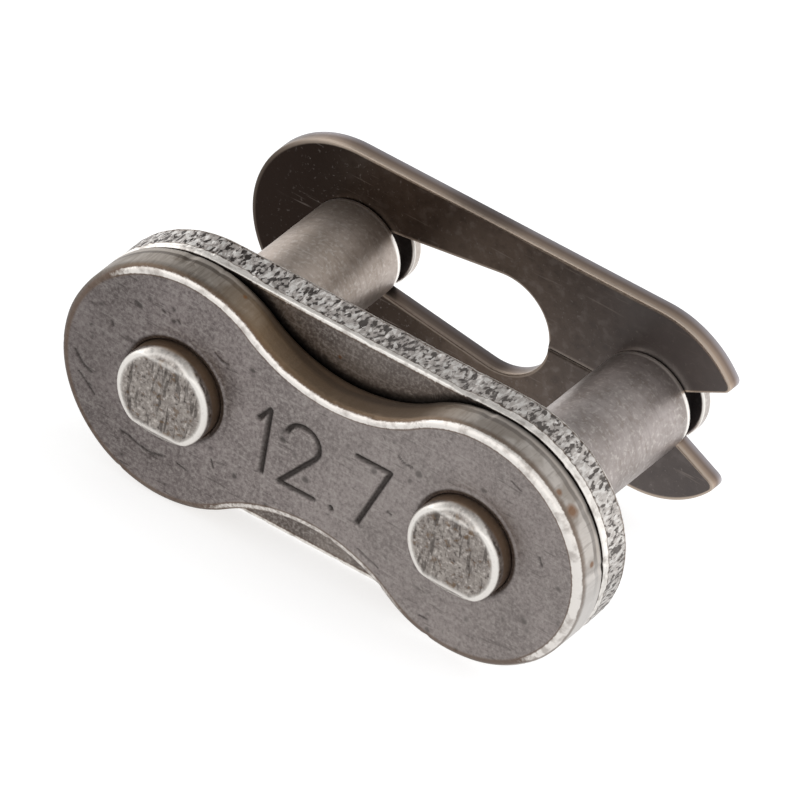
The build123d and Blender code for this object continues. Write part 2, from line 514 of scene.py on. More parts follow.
def distance_to(lines, x, z):
    """Shortest distance in millimetres from each point (x, z) to the nearest of those lines."""
    nearest = np.full(np.shape(x), np.inf)
    for track in lines:
        for start, end in zip(track[:-1], track[1:]):
            run = end - start
            from_x, from_z = x - start[0], z - start[1]
            share = np.clip((from_x * run[0] + from_z * run[1]) / (run @ run), 0, 1)
            away = np.hypot(from_x - share * run[0], from_z - share * run[1])
            nearest = np.minimum(nearest, away)
    return nearest


def struck_relief(x, z):
    """Depth of the face at (x, z): a rounded groove along each line, and a lip beside it."""
    away = distance_to(FIGURE_LINES, x, z)
    groove = GROOVE_DEPTH * ease(away, GROOVE_HALF_WIDTH, 0.02)
    return groove - LIP_HEIGHT * hump(away, LIP_DISTANCE, LIP_WIDTH)


print("figures:", len(FIGURES), "groove", GROOVE_DEPTH, "mm deep")

# %% [markdown]
# A tumbled plate also carries a few scratches, dents and the bite of the riveting tool. Each is a
# short line with its own half width, made in the same way as the figures but much shallower.

# %% Scratches and dents of the pin plate's face
MARKS = (                        # half width in millimetres, and the line
    (0.09, ((-10.60, -0.55), (-10.25, -0.94), (-9.85, -1.14))),
    (0.07, ((-10.34, -1.37), (-10.02, -1.61), (-9.56, -2.01))),
    (0.08, ((-8.25, -2.95), (-7.92, -2.98), (-7.42, -3.15), (-6.85, -3.21), (-6.39, -3.08))),
    (0.14, ((-8.42, 2.79), (-8.25, 2.73))),
    (0.09, ((-7.31, 3.03), (-7.22, 3.00))),
    (0.09, ((-6.65, 2.94), (-6.56, 2.86))),
    (0.09, ((-9.30, 1.44), (-9.22, 1.32))),
    (0.06, ((-5.75, -3.06), (-5.33, -3.16))),
    (0.06, ((-4.93, 2.40), (-4.60, 2.22), (-4.32, 2.20))),
    (0.06, ((-4.40, -2.13), (-4.26, -2.46))),
    (0.06, ((3.10, 2.18), (3.40, 2.00), (3.76, 2.01))),
    (0.09, ((3.06, -0.38), (3.20, -0.44))),
    (0.07, ((9.41, 1.08), (9.56, 0.77))),
    (0.06, ((5.00, -4.00), (5.38, -3.99))),
    (0.05, ((7.77, 3.64), (8.00, 3.50), (8.25, 3.44))),
    (0.05, ((2.10, -2.60), (3.05, -2.95))),
)


def marked(x, z):
    """How deep into a scratch or dent each point is, from 0 beside it to 1 in its middle."""
    share = np.zeros(np.shape(x))
    for half_width, track in MARKS:
        away = distance_to([np.array(track)], x, z)
        share = np.maximum(share, ease(away, half_width, 0.3 * half_width))
    return share


print("marks:", len(MARKS))

# %% [markdown]
# The pin plate is blanked from strip with its outer face down on the die. That leaves a wide
# rounded edge round the outer face, a rim that the die has burnished, and a small bevel at the
# back. Afterwards the plates tumble with grit, which polishes the rounded edge and nicks it. The
# edges that face up and to the right are painted brighter than the rest, a painted highlight, and
# so is the edge of the lower hollow.

# %% The pin plate's surface
PLATE_THICKNESS = (plate_high.y - plate_low.y) / MM
ROUNDING, BACK_BEVEL = 0.3, 0.1  # millimetres, round the outer face and round the back
HOLE_RADIUS, HOLE_BEVEL = PIN_RADIUS + 0.015, 0.06
RAISED_RING = PIN_RADIUS + 0.2   # middle of the ring that pressing the pin raises round its hole
RING_WIDTH, RING_HEIGHT = 0.07, 0.035
MARK_DEPTH = 0.03
FACE_SINK = 0.016                # keeps the ring and the waves inside the measured face
WAVE, FINE_WAVE = 0.012, 0.004   # heights
WAVE_WIDTH, FINE_WAVE_WIDTH, EDGE_WAVE_WIDTH = 3.0, 0.7, 1.1
NICK_DEPTH, NICK_WIDTH = 0.05, 0.45
BRIGHTEST_EDGE_FACING = 0.75, 0.66       # direction (x, z) that the edges painted brightest face: a painted highlight
DIMMEST_EDGE_SHARE, HOLLOW_POLISH = 0.28, 0.62


def from_pin(x, z):
    """Distance of (x, z) from the nearer pin's axis."""
    return np.hypot(np.abs(x) - PIN_X, z)


def beside_hollow(x, z):
    """Whether (x, z) lies between the lines from a hollow arc's centre to both lobes' centres."""
    return PIN_X * np.abs(z) + hollow_centre * (np.abs(x) - PIN_X) < 0


def lobed_inset(x, z):
    """How far (x, z) lies inside the pin plate's edge: from the lobe's arc, or the hollow arc."""
    to_hollow = np.hypot(x, hollow_centre - np.abs(z)) - hollow_radius
    return np.where(beside_hollow(x, z), to_hollow, LOBE_RADIUS - from_pin(x, z))


def edge_polish_and_highlight(x, z):
    """How bright the edge is: a painted highlight where it faces up and to the right, and bright in
    the lower hollow.
    """
    hollow = beside_hollow(x, z)
    out_x = np.where(hollow, -x, x - np.sign(x) * PIN_X)
    out_z = np.where(hollow, np.sign(z) * hollow_centre - z, z)
    facing = (BRIGHTEST_EDGE_FACING[0] * out_x + BRIGHTEST_EDGE_FACING[1] * out_z) / np.hypot(out_x, out_z)
    polish = DIMMEST_EDGE_SHARE + (1 - DIMMEST_EDGE_SHARE) * ease(facing, -0.15, 0.35)
    lower_hollow = ease(z, -1.5, -2.5) * ease(np.abs(x), 6.0, 3.0)
    return np.maximum(polish, HOLLOW_POLISH * lower_hollow)


def pin_plate_face(points):
    """Outer face as it is after striking, pressing and tumbling: depth moves, x and z stay."""
    x, z, flat = points[..., 0], points[..., 2], points * (1, 0, 1)
    waves = WAVE * uneven(flat, WAVE_WIDTH, 3) + FINE_WAVE * uneven(flat, FINE_WAVE_WIDTH, 4)
    ring = RING_HEIGHT * hump(from_pin(x, z), RAISED_RING, RING_WIDTH)
    sunk = struck_relief(x, z) + MARK_DEPTH * marked(x, z) + FACE_SINK + waves - ring
    moved = points.copy()
    moved[..., 1] += sunk * ease(points[..., 1], 0.25, 0.0)
    return moved


def nicked(points, outward, share, seed):
    """Moves an edge inwards where it was knocked: a shallow wave, and deeper short nicks."""
    flat = points * (1, 0.35, 1)         # nicks are drawn out along the depth
    wave = WAVE * (1 + uneven(flat, EDGE_WAVE_WIDTH, seed))
    nick = NICK_DEPTH * ease(uneven(flat, NICK_WIDTH, seed + 1), 0.45, 0.95)
    return points - outward * (share * (wave + nick))[..., None]


print("pin plate", round(PLATE_THICKNESS, 2), "mm thick")

# %% [markdown]
# Now its grids. The bright arris reaches further down the rim round its right end, where the plate
# is worn most and is painted brighter as well. The oxide stays in the figures and in the dents.
# Round each pin's base and along the back of the rim, beside the gap, the plate is painted dark:
# oxide and grime, and painted shade.

# %% The pin plate's grids
PLATE_RUNGS = 101                # points on the upright lines between the fans and the middle
FACE_RINGS, BACK_RINGS = 46, 6   # points on each ray of a fan
ROUNDING_ROWS, RIM_ROWS, BEVEL_ROWS = 9, 14, 4


def pin_plate_patches():
    """The plate's grids: outer face, back face, edge, and the walls of the two holes."""
    back_edge = PLATE_THICKNESS - BACK_BEVEL
    widened = HOLE_RADIUS + HOLE_BEVEL
    front = face_grids(lobed_outline, ROUNDING, widened, 0.0, FACE_RINGS, PLATE_RUNGS)
    back = face_grids(
        lobed_outline, BACK_BEVEL, HOLE_RADIUS, PLATE_THICKNESS, BACK_RINGS, PLATE_RUNGS)
    rim = line((0, ROUNDING), (0, back_edge), RIM_ROWS)
    bevel = line((0, back_edge), (BACK_BEVEL, PLATE_THICKNESS), BEVEL_ROWS)
    section = np.concatenate([quarter(ROUNDING, ROUNDING_ROWS), rim[1:], bevel[1:]])
    inset, depth = section[:, :1], section[:, 1:]
    edge = edge_grid(lobed_outline, section)
    share = ease(inset, ROUNDING, ROUNDING / 2) * ease(depth, PLATE_THICKNESS, back_edge)
    edge = nicked(pin_plate_face(edge), outward_of(lobed_outline), share, 11)
    x, z = edge[..., 0], edge[..., 2]
    wide = ease(x, 2.0, 9.0) * ease(z, -4.5, 0.0)          # 1 where the arris is worn most and painted brightest
    bright = ease(depth, 0.14 + 0.17 * wide, 0.02 + 0.08 * wide)
    half_bright = 0.3 * ease(depth, 0.38 + 0.20 * wide, 0.12 + 0.15 * wide)
    # The edge is painted brighter where it faces up and to the right: a painted highlight.
    bright = np.maximum(bright, half_bright) * edge_polish_and_highlight(x, z)
    # The back of the rim beside the gap is painted dark: oily grime and painted shade.
    gap = back_edge - 0.10 * ease(x, 4.5, 6.5) * ease(z, 0.5, 2.5)
    dirt_and_shade = ease(depth, gap, gap + 0.03)
    patches = [patch(edge, arris=bright, rim=ease(depth, 0.03, 0.14), struck=dirt_and_shade)]
    for number, grid in enumerate(front):
        x, z = grid[..., 0], grid[..., 2]
        near = ease(lobed_inset(x, z), ROUNDING + 0.12, ROUNDING - 0.02) * edge_polish_and_highlight(x, z)
        oxide_and_shade = ease(distance_to(FIGURE_LINES, x, z), GROOVE_HALF_WIDTH, 0.05)
        oxide_and_shade = np.maximum(oxide_and_shade, 0.8 * marked(x, z))
        # Round each pin's base the face is painted dark: oxide and painted shade.
        round_pin = ease(from_pin(x, z), PIN_RADIUS + 0.32, PIN_RADIUS + 0.08)
        oxide_and_shade = np.maximum(oxide_and_shade, 0.75 * round_pin)
        patches.append(patch(pin_plate_face(grid), number > 0, arris=near, struck=oxide_and_shade))
    for number, grid in enumerate(back):
        near = ease(lobed_inset(grid[..., 0], grid[..., 2]), BACK_BEVEL + 0.1, BACK_BEVEL)
        patches.append(patch(grid, number > 0, arris=near))
    section = (
        (widened, 0.0), (HOLE_RADIUS, HOLE_BEVEL), (HOLE_RADIUS, PLATE_THICKNESS / 2),
        (HOLE_RADIUS, PLATE_THICKNESS),
    )
    return patches + hole_patches(lobed_outline, PLATE_RUNGS, section, pin_plate_face)


# %% [markdown]
# The loose plate has straight sides and sharper edges. The punch sheared the first part of its
# rim and then tore the rest, so most of the rim is a rough grey fracture of grains about a tenth
# of a millimetre across, with a thin bright arris in front. Where the pin plate stands close
# before it, its face and the foot of its edge are painted dark: grime and painted shade.

# %% The loose plate
COVER_DEPTH = depth_of(cover_low.y)
COVER_THICKNESS = (cover_high.y - cover_low.y) / MM
COVER_EDGE = 0.1
COVER_RUNGS, COVER_RINGS = 61, 22
TORN_ROWS, COVER_BEVEL_ROWS = 20, 5
SLIP_RADIUS, SLIP_BEVEL = PIN_RADIUS + 0.06, 0.08
TORN_DEPTH = 0.028               # of a fracture's grain
GRAIN_WIDTH, COARSE_GRAIN_WIDTH, COARSE_SHARE = 0.13, 0.26, 0.6
COVER_WAVE, COVER_WAVE_WIDTH = 0.006, 2.5


def in_crevice(x):
    """1 where the pin plate's lobes stand close before the loose plate, and 0 at the waist."""
    return ease(np.abs(x), 4.0, 5.5)


def torn_rim(points, outward, share):
    """Moves the rim inwards by a fracture's grain: fine, and drawn out a little along the depth."""
    fine = uneven(points * (1, 0.55, 1), GRAIN_WIDTH, 21)
    coarse = uneven(points * (1, 0.8, 1), COARSE_GRAIN_WIDTH, 22)
    drop = TORN_DEPTH * (1 + (fine + COARSE_SHARE * coarse))
    return points - outward * (share * np.maximum(drop, 0))[..., None]


def cover_face(points):
    """Both faces are slightly uneven: they sink by up to 0.012 mm towards the plate's middle."""
    across = (points[..., 1] - COVER_DEPTH) / COVER_THICKNESS
    moved = points.copy()
    wave = COVER_WAVE * (1 + uneven(points * (1, 0, 1), COVER_WAVE_WIDTH, 31))
    moved[..., 1] += wave * (1 - 2 * across)
    return moved


def cover_patches():
    """The loose plate's grids: two faces, the edge, and the walls of the two holes."""
    back, back_edge = COVER_DEPTH + COVER_THICKNESS, COVER_THICKNESS - COVER_EDGE
    bevel = quarter(COVER_EDGE, COVER_BEVEL_ROWS)
    rim = line((0, COVER_EDGE), (0, back_edge), TORN_ROWS)
    back_bevel = (bevel * (1, -1) + (0, COVER_THICKNESS))[::-1]
    section = np.concatenate([bevel, rim[1:-1], back_bevel])
    inset, depth = section[:, :1], section[:, 1:]
    edge = edge_grid(straight_outline, section + (0, COVER_DEPTH))
    torn = ease(depth, COVER_EDGE, COVER_EDGE + 0.07) * ease(depth, COVER_THICKNESS, back_edge)
    outward = outward_of(straight_outline)
    edge = nicked(cover_face(edge), outward, ease(inset, 0.1, 0.03), 41)
    edge = torn_rim(edge, outward, torn)
    crevice = in_crevice(edge[..., 0])
    # Painted shade: deep in the crevice behind the pin plate's lobes the foot of the edge is
    # painted dark, and its arris is not bright there.
    shade_in_gap = crevice * ease(depth, 0.015, 0.003)
    reach = COVER_EDGE + 0.16 * crevice
    bright = ease(depth, reach + 0.15, reach + 0.03) * (1 - shade_in_gap)
    bright = np.maximum(bright, 0.6 * ease(depth, back_edge - 0.05, COVER_THICKNESS - 0.05))
    patches = [patch(edge, arris=bright, rim=torn, struck=shade_in_gap)]
    widened = SLIP_RADIUS + SLIP_BEVEL
    for face, hidden in ((COVER_DEPTH, 1.0), (back, 0.0)):
        grids = face_grids(
            straight_outline, COVER_EDGE, widened, face, COVER_RINGS, COVER_RUNGS)
        for number, grid in enumerate(grids):
            x, z = grid[..., 0], grid[..., 2]
            inset = LOBE_RADIUS - np.hypot(np.maximum(np.abs(x) - PIN_X, 0), z)
            # The face behind the pin plate is painted dark near its edge at the lobes, and behind
            # the pin plate's rim at the waist: grime and painted shade.
            behind_rim = ease(-lobed_inset(x, z), 0.34, 0.14) * ease(z, 0.0, 1.0)
            dirt_and_shade = hidden * np.maximum(in_crevice(x) * ease(inset, 0.35, 0.15), behind_rim)
            near = ease(inset, COVER_EDGE + 0.12, COVER_EDGE) * (1 - dirt_and_shade)
            patches.append(patch(cover_face(grid), number > 0, arris=near, struck=dirt_and_shade))
    section = (
        (widened, COVER_DEPTH), (SLIP_RADIUS, COVER_DEPTH + SLIP_BEVEL),
        (SLIP_RADIUS, COVER_DEPTH + COVER_THICKNESS / 2), (SLIP_RADIUS, back - SLIP_BEVEL),
        (widened, back),
    )
    return patches + hole_patches(straight_outline, COVER_RUNGS, section, cover_face)


print("loose plate at depth", round(COVER_DEPTH, 2), "mm")

# %% [markdown]
# A pin is turned and ground, so its surface is a profile spun round its axis: radius against
# depth. One end is riveted. After the pins were pressed in, a punch took a sloping chord off the
# top and the bottom of each riveted end, and rounded the edge as it spread the metal. The chord
# dips the end face and its edge together, so the dip is a function of height alone.

# %% The two pins
RIVET_END = depth_of(pin_low.y)
FREE_END = depth_of(pin_high.y)
SHOULDER = 11.54                 # depth of the clip groove's near side
GROOVE_WIDTH, GROOVE_RADIUS = 0.86, 1.1
GROOVE_END = SHOULDER + GROOVE_WIDTH
GROOVE_FILLET, HEAD_BEVEL = 0.05, 0.05
WALL_RING = 1.5                  # radius of a ring halfway up the groove's walls
RIVET_EDGE, HEAD_EDGE = 0.2, 0.22
STAKE_CHORD, STAKE_SLOPE = 1.5, tan(radians(35))
STAKE_BLEND = 0.03               # how softly the chord's slope starts
BATTER, FINE_BATTER = 0.02, 0.006        # heights of the battered ends' waves
BATTER_WIDTH, FINE_BATTER_WIDTH = 0.9, 0.28
BATTER_REACH = 0.3               # how far from each end they reach
AROUND = 208                     # points round a pin
END_ROWS, EDGE_ROWS, PROUD_ROWS, SHAFT_ROWS, GROOVE_ROWS, HEAD_ROWS = 24, 8, 9, 48, 8, 7
# The bright band just before the shoulder is a worn edge, widened as a painted highlight against
# the shade where the pin meets the clip.
SHOULDER_BEVEL = (               # how far in, how far from the groove, and arris
    (0, 0.25, 0.0), (0, 0.17, 1.0), (0.01, 0.03, 1.0), (0.04, 0, 0.8),
)


def stake_dip(height):
    """Depth that the staking chords take off the riveted end: a slope past the chord's height."""
    past = np.abs(height) - STAKE_CHORD
    return STAKE_SLOPE * 0.5 * (past + np.sqrt(past**2 + STAKE_BLEND**2))


def pin_profile():
    """Rows from the rivet up: radius, depth, share of the dip, and arris (-1 in the groove)."""
    rivet_face, head_face = PIN_RADIUS - RIVET_EDGE, PIN_RADIUS - HEAD_EDGE
    face = np.linspace(0, rivet_face, END_ROWS)[:-1]
    inset, down = quarter(RIVET_EDGE, EDGE_ROWS).T
    proud = np.linspace(RIVET_END + RIVET_EDGE, 0.0, PROUD_ROWS)[1:]
    bevel_inset, bevel_up, bevel_worn = np.array(SHOULDER_BEVEL).T
    wall = np.array([PIN_RADIUS - 0.2, WALL_RING, GROOVE_RADIUS + GROOVE_FILLET])
    groove = np.linspace(SHOULDER + GROOVE_FILLET, GROOVE_END - GROOVE_FILLET, GROOVE_ROWS)
    head_wall = np.array([GROOVE_RADIUS + GROOVE_FILLET, WALL_RING, PIN_RADIUS - 0.12])
    head = np.linspace(GROOVE_END + 0.12, FREE_END - HEAD_EDGE, HEAD_ROWS)
    head_inset, head_down = quarter(HEAD_EDGE, EDGE_ROWS)[::-1][1:].T
    top = np.linspace(head_face, 0, END_ROWS)[1:]
    stretches = (
        (face, RIVET_END, 1.0, ease(face, rivet_face - 0.12, rivet_face)),
        (PIN_RADIUS - inset, RIVET_END + down, 1.0, ease(down, 0.19, 0.06)),
        (PIN_RADIUS, proud, ease(proud, -0.1, RIVET_END + RIVET_EDGE), 0.0),
        (PIN_RADIUS, np.linspace(0, SHOULDER - 0.3, SHAFT_ROWS)[1:], 0.0, 0.0),
        (PIN_RADIUS - bevel_inset, SHOULDER - bevel_up, 0.0, bevel_worn),
        (wall, SHOULDER, 0.0, -1.0),
        (GROOVE_RADIUS, groove, 0.0, -1.0),
        (head_wall, GROOVE_END, 0.0, -1.0),
        (PIN_RADIUS - HEAD_BEVEL, GROOVE_END, 0.0, 1.0),
        (PIN_RADIUS, GROOVE_END + HEAD_BEVEL, 0.0, 1.0),
        (PIN_RADIUS, head, 0.0, 0.2),
        (PIN_RADIUS - head_inset, FREE_END - head_down, 0.0, 1.0),
        (top, FREE_END, 0.0, ease(top, head_face - 0.12, head_face)),
    )
    return np.vstack([np.stack(np.broadcast_arrays(*stretch), -1) for stretch in stretches])


def pin_patches(side, seed):
    """One pin as a single grid: the profile's rows by the points round it, with battered ends."""
    radius, depth, share, bright = pin_profile().T[..., None]
    angle = np.linspace(0, 2 * pi, AROUND, endpoint=False)[None, :]
    height = radius * np.sin(angle)
    points = np.stack([side * PIN_X + radius * np.cos(angle), depth + 0 * angle, height], -1)
    place = points[..., 1]       # along the pin; changing it moves the points
    place += share * stake_dip(height)
    at_end = ease(place, 0.0, RIVET_END + BATTER_REACH)
    at_end = at_end + ease(place, FREE_END - BATTER_REACH, FREE_END)
    flat = points * (1, 0, 1)
    batter = BATTER * (1 + uneven(flat, BATTER_WIDTH, seed))
    batter = batter + FINE_BATTER * (1 + uneven(flat, FINE_BATTER_WIDTH, seed + 1))
    inwards = np.where(place < SHOULDER / 2, 1.0, -1.0)
    place += at_end * batter * inwards * ease(radius, PIN_RADIUS + 0.2, PIN_RADIUS - 0.2)
    # The riveted end's edge is bright below the upper chord, and each chord's own edge is a line.
    below = height < 0
    line_width = np.where(below, 0.11, 0.06)
    chord_line = np.where(below, 1.0, 0.6) * hump(np.abs(height), STAKE_CHORD, line_width)
    under_chord = ease(height, STAKE_CHORD + 0.45, STAKE_CHORD - 0.1) ** 0.5
    bright = bright * np.where(share > 0, under_chord, 1.0)
    bright = np.where(share > 0.99, np.maximum(bright, chord_line), bright)
    end_face = ease(place, RIVET_END + 1.5 * BATTER_REACH, RIVET_END + BATTER_REACH)
    end_face = end_face + ease(place, FREE_END - 0.1, FREE_END)
    brown = ease(place, 0.1, -0.05) * (1 - end_face)
    return [patch(points, arris=bright, rim=end_face, struck=brown)]


print("pin from", round(RIVET_END, 2), "to", round(FREE_END, 2), "mm:", len(pin_profile()), "rows")

# %% [markdown]
# The clip is one ribbon of spring steel: it starts at the upper tip of the fishtail, runs back
# round the closed end, and comes forward to the lower tip. Its inner side follows the two seats
# in the pins' grooves, the tapered window and the slit. Its outer side is the clip's outline. So
# two lines with the same number of points, one for each side, describe it, and the ribbon is
# ruled between them. Both lines meet in the middle of each rounded tip, which closes the ends.

# %% The spring clip's two lines
CLIP_DEPTH = depth_of(clip_low.y)
CLIP_THICKNESS = (clip_high.y - clip_low.y) / MM
CLIP_RADIUS = (clip_high.z - clip_low.z) / 2 / MM
CLIP_HEEL = 0.52                 # extra length of the closed end
SEAT_RADIUS, WINDOW_RADIUS = 1.13, 2.08
HALF_SLIT = 0.015
MOUTH_ANGLE = radians(28)
FLARE_START = 1.5                # from the right pin's axis to where the mouth opens
TIP_RADIUS = 0.3
CLIP_STEP = 0.09                 # between neighbouring points along the ribbon
OUTER_STOPS = -1.5, 2.8, 5.0     # x, opposite the ends of the inner side's parts
OUTER_BENDS = radians(76), radians(56)


def run_along(track):
    """Distance along a line of points, from its start to each of them."""
    return np.concatenate([[0], np.cumsum(np.linalg.norm(np.diff(track, axis=0), axis=1))])


def spaced(track, count):
    """The same line with that many points, evenly spaced along it."""
    run = run_along(track)
    at = np.linspace(0, run[-1], count)
    return np.stack([np.interp(at, run, values) for values in track.T], -1)


def clip_lines():
    """(inner, outer) lines of the clip's upper half, from the closed end to the tip's middle.

    Both are drawn in eight parts, each finely, and then spaced evenly.
    """
    lean = pi / 2 + asin((WINDOW_RADIUS - SEAT_RADIUS) / PIN_X)
    lean_x, lean_z = cos(lean), sin(lean)
    along = np.array([cos(MOUTH_ANGLE), sin(MOUTH_ANGLE)])
    across = np.array([-along[1], along[0]])
    flare = np.array([PIN_X + FLARE_START, SEAT_RADIUS])
    # The tip's circle touches the flare and the outline: solve for its centre's place on the flare.
    start = flare - (PIN_X, 0) + TIP_RADIUS * across
    room = (start @ along) ** 2 - start @ start + (CLIP_RADIUS - TIP_RADIUS) ** 2
    tip = flare + (-start @ along + sqrt(room)) * along + TIP_RADIUS * across
    tip_low = MOUTH_ANGLE - pi / 2
    tip_high = atan2(tip[1], tip[0] - PIN_X)
    tip_middle = (tip_low + tip_high) / 2
    window_end = sqrt(WINDOW_RADIUS**2 - HALF_SLIT**2)
    slit_end = sqrt(SEAT_RADIUS**2 - HALF_SLIT**2)
    seat_start = pi - asin(HALF_SLIT / SEAT_RADIUS)
    inner = (
        arc(-PIN_X, 0, SEAT_RADIUS, pi, lean, 60),
        line((-PIN_X + SEAT_RADIUS * lean_x, SEAT_RADIUS * lean_z),
             (WINDOW_RADIUS * lean_x, WINDOW_RADIUS * lean_z), 60),
        arc(0, 0, WINDOW_RADIUS, lean, asin(HALF_SLIT / WINDOW_RADIUS), 90),
        line((window_end, HALF_SLIT), (PIN_X - slit_end, HALF_SLIT), 40),
        arc(PIN_X, 0, SEAT_RADIUS, seat_start, pi / 2, 60),
        line((PIN_X, SEAT_RADIUS), flare, 30),
        line(flare, tip - TIP_RADIUS * across, 30),
        arc(*tip, TIP_RADIUS, tip_low, tip_middle, 30),
    )
    heel = -PIN_X - CLIP_HEEL
    stops = [(x, CLIP_RADIUS) for x in (heel, *OUTER_STOPS, PIN_X)]
    outer = (
        arc(heel, 0, CLIP_RADIUS, pi, pi / 2, 90),
        line(stops[0], stops[1], 60),
        line(stops[1], stops[2], 60),
        line(stops[2], stops[3], 40),
        np.concatenate([line(stops[3], stops[4], 20)[:-1],
                        arc(PIN_X, 0, CLIP_RADIUS, pi / 2, OUTER_BENDS[0], 20)]),
        arc(PIN_X, 0, CLIP_RADIUS, *OUTER_BENDS, 30),
        arc(PIN_X, 0, CLIP_RADIUS, OUTER_BENDS[1], tip_high, 30),
        arc(*tip, TIP_RADIUS, tip_high, tip_middle, 30),
    )
    longest = [max(run_along(part)[-1] for part in pair) for pair in zip(inner, outer)]
    counts = [steps(length, CLIP_STEP) for length in longest]
    return tuple(
        np.concatenate([spaced(part, count)[:-1] for part, count in zip(side, counts)]
                       + [side[-1][-1:]])
        for side in (inner, outer)
    )


def pulled_in(track, amount):
    """The line moved square to itself by that amount, to its left as it runs."""
    ahead = np.gradient(track, axis=0)
    square = np.stack([-ahead[:, 1], ahead[:, 0]], -1)
    return track + amount * (square / np.linalg.norm(square, axis=1, keepdims=True))


print("clip: depth", round(CLIP_DEPTH, 2), "half height", round(CLIP_RADIUS, 2))

# %% [markdown]
# The ribbon's section is a rectangle with bevelled corners. It is a list of columns, each a line
# of points at one depth: down the outer wall, across the far face, up the inner wall, and back
# across the near face. The slit's sheared edges stay sharper than the others, and the grit hardly
# reached the window's wall, which stays brown.

# %% The clip's ribbon
CLIP_EDGE = 0.08
SLIT_EDGE = 0.3                  # share of the bevel that the slit's edges have
WALL_STEPS, FACE_STEPS, BEVEL_STEPS = 9, 30, 4
WINDOW_MIDDLE = -1.5             # x of the tapered window's middle
WINDOW_BORDER = 4.6, 3.9         # how far from there its brown wall ends


def wall_columns(track, face, open_edge):
    """Columns of a wall and its bevels, from the near face to the far one: each is a line of
    points, its depth, how near an arris it is, and its place across the wall."""
    far = CLIP_DEPTH + CLIP_THICKNESS
    bevel = [(track + (face - track) * inset / CLIP_EDGE, down)
             for inset, down in quarter(CLIP_EDGE, BEVEL_STEPS)[:-1]]
    columns = [(points, CLIP_DEPTH + down, np.maximum(open_edge, 0.4), 0.25 * open_edge)
               for points, down in bevel]
    for share in np.linspace(0, 1, WALL_STEPS):
        depth = CLIP_DEPTH + CLIP_EDGE + share * (CLIP_THICKNESS - 2 * CLIP_EDGE)
        worn, place = ease(share, 0.08, 0.0), 0.25 + 0.75 * share
        columns.append((track, depth, open_edge * worn, open_edge * place))
    return columns + [(points, far - down, 0.0, 1.0) for points, down in bevel[::-1]]


def face_columns(start, end, depth):
    """Columns of a face, between the lines at its two borders."""
    shares = np.linspace(0, 1, FACE_STEPS)[1:-1]
    return [(start * (1 - share) + end * share, depth, 0.0, 0.0) for share in shares]


def clip_patches():
    """The whole clip as one grid: points along the ribbon by points round its section."""
    inner, outer = (np.concatenate([h[::-1][:-1] * (1, -1), h]) for h in clip_lines())
    open_edge = ease(np.abs(inner[:, 1]), 0.05, 0.30)      # 0 along the slit, 1 away from it
    inner_face = pulled_in(inner, CLIP_EDGE)
    edge_share = SLIT_EDGE + (1 - SLIT_EDGE) * open_edge
    inner_face = inner + (inner_face - inner) * edge_share[:, None]
    outer_face = pulled_in(outer, -CLIP_EDGE)
    for tip in (0, -1):                                    # both faces end in one point there
        inner_face[tip] = outer_face[tip] = (inner_face[tip] + outer_face[tip]) / 2
    columns = wall_columns(outer, outer_face, 1.0)
    columns += face_columns(outer_face, inner_face, CLIP_DEPTH + CLIP_THICKNESS)
    columns += wall_columns(inner, inner_face, open_edge)[::-1]
    columns += face_columns(inner_face, outer_face, CLIP_DEPTH)
    points = np.stack([np.insert(track, 1, depth, axis=1) for track, depth, *_ in columns], axis=1)
    bright, wall = (
        np.stack([np.broadcast_to(c[k], len(inner)) for c in columns], axis=1) for k in (2, 3))
    in_window = ease(np.hypot(points[..., 0] - WINDOW_MIDDLE, points[..., 2]), *WINDOW_BORDER)
    return [patch(points, arris=bright * (1 - 0.5 * in_window), rim=wall, struck=in_window)]


# %% [markdown]
# Every finish below is a base colour with coats laid over it: oxide, grain, pits, stains, and the
# wear that takes them off again. A coat has a pattern, the two values of it between which the coat
# goes from nothing to its most, how much that is, and its colour.


# %% Coats of a finish
def per_mm(size):
    """Scale of a texture on Object coordinates whose features are that many millimetres wide."""
    return 1 / (size * MM)


def new_metal(name, noises):
    """A new material, its tree, the place on the piece, its x, y and z, the kept values, and its
    noises. Each is (size of a feature in mm, detail, roughness), and may be turned about Y by
    some degrees and stretched."""
    material = bpy.data.materials.new(name)
    tree = blank_tree(material)
    place = add(tree, "TexCoord", output="Object")
    parts = add(tree, "SeparateXYZ", {0: place}).node.outputs
    kept = [add(tree, "Attribute", output="Fac", attribute_name=key) for key in KEPT]
    drawn = []
    for size, detail, rough, *turned in noises:
        at = place
        for turn, stretch in turned:
            at = {"Vector": place, "Rotation": (0.0, radians(turn), 0.0), "Scale": stretch}
            at = add(tree, "Mapping", at)
        noise = {"Vector": at, "Scale": per_mm(size), "Detail": detail, "Roughness": rough}
        drawn.append(add(tree, "TexNoise", noise))
    return material, tree, place, tuple(parts), kept, drawn


def laid_over(tree, colour, coats):
    """The colour under coats of (pattern, bare at, full at, most, colour), the last one on top."""
    for pattern, bare, full, most, coat in coats:
        cover = {"Value": pattern, "From Min": bare, "From Max": full, "To Max": most}
        both = {0: add(tree, "MapRange", cover), 6: colour, 7: tone(coat)}
        colour = add(tree, "Mix", both, 2, data_type="RGBA")
    return colour


def finish_metal(tree, colour, roughness, heights):
    """The metal's shader. Its relief is the sum of each (pattern, height in millimetres)."""
    relief = 0.0
    for pattern, height in heights:
        relief = add(tree, "Math", {0: pattern, 1: height, 2: relief}, operation="MULTIPLY_ADD")
    normal = add(tree, "Bump", {"Height": relief, "Strength": 1.0, "Distance": MM})
    metal = {"Metallic": 1.0, "Base Color": colour, "Roughness": roughness, "Normal": normal}
    add(tree, "OutputMaterial", {"Surface": add(tree, "BsdfPrincipled", metal)})


print("a pattern of 0.1 mm has scale", round(per_mm(0.1)))

